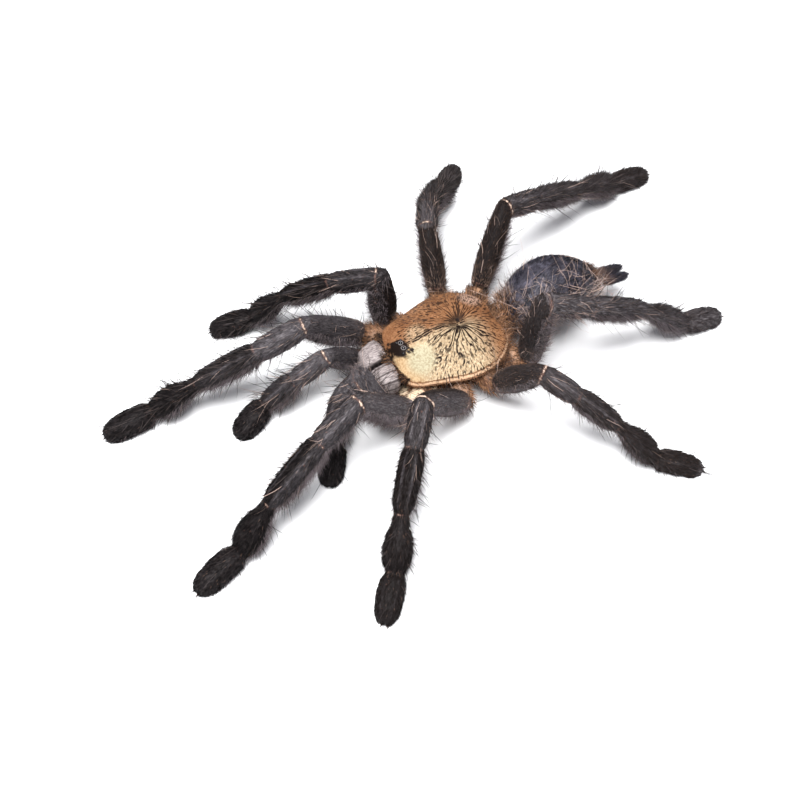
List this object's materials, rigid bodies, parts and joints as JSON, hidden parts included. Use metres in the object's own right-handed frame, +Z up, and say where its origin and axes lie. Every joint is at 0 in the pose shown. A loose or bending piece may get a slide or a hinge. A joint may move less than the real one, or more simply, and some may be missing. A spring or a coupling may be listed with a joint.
{
  "type": "dried tarantula specimen",
  "caption": "Dried tarantula with a golden shield and dark furry legs spread wide, standing on its own feet on a shelf, table or display base.",
  "frame": {"origin": "middle of the footprint, on the surface that the feet stand on", "axes": "+Z up, -Y the way that the spider faces, +X its own left side"},
  "size_m": [0.0904, 0.128, 0.0267],
  "materials": {
    "shield": "thin golden-tan horn with a short nap, smooth and a little glossy towards the front",
    "underside": "brown skin under short dense hair",
    "fur": "near-black short dense hair with a soft grey sheen and long loose bristles",
    "velvet": "blue-black velvety short hair under long curled tan hairs",
    "jaw": "pale grey-pink skin with fine dark streaks of lying hair",
    "horn": "hard glossy black horn"
  },
  "bodies": {
    "root": {"carapace": "shield", "sternum_and_coxae": "underside", "abdomen": "velvet", "chelicera_left": "jaw", "fang_left": "horn", "spinneret_left": "fur", "chelicera_right": "jaw", "fang_right": "horn", "spinneret_right": "fur", "palp_left_femur": "fur", "palp_left_patella": "fur", "palp_left_tibia": "fur", "palp_left_tarsus": "fur", "palp_right_femur": "fur", "palp_right_patella": "fur", "palp_right_tibia": "fur", "palp_right_tarsus": "fur", "leg_1_left_femur": "fur", "leg_1_left_patella": "fur", "leg_1_left_tibia": "fur", "leg_1_left_metatarsus": "fur", "leg_1_left_tarsus": "fur", "leg_1_right_femur": "fur", "leg_1_right_patella": "fur", "leg_1_right_tibia": "fur", "leg_1_right_metatarsus": "fur", "leg_1_right_tarsus": "fur", "leg_2_left_femur": "fur", "leg_2_left_patella": "fur", "leg_2_left_tibia": "fur", "leg_2_left_metatarsus": "fur", "leg_2_left_tarsus": "fur", "leg_2_right_femur": "fur", "leg_2_right_patella": "fur", "leg_2_right_tibia": "fur", "leg_2_right_metatarsus": "fur", "leg_2_right_tarsus": "fur", "leg_3_left_femur": "fur", "leg_3_left_patella": "fur", "leg_3_left_tibia": "fur", "leg_3_left_metatarsus": "fur", "leg_3_left_tarsus": "fur", "leg_3_right_femur": "fur", "leg_3_right_patella": "fur", "leg_3_right_tibia": "fur", "leg_3_right_metatarsus": "fur", "leg_3_right_tarsus": "fur", "leg_4_left_femur": "fur", "leg_4_left_patella": "fur", "leg_4_left_tibia": "fur", "leg_4_left_metatarsus": "fur", "leg_4_left_tarsus": "fur", "leg_4_right_femur": "fur", "leg_4_right_patella": "fur", "leg_4_right_tibia": "fur", "leg_4_right_metatarsus": "fur", "leg_4_right_tarsus": "fur"}
  },
  "joints": []
}
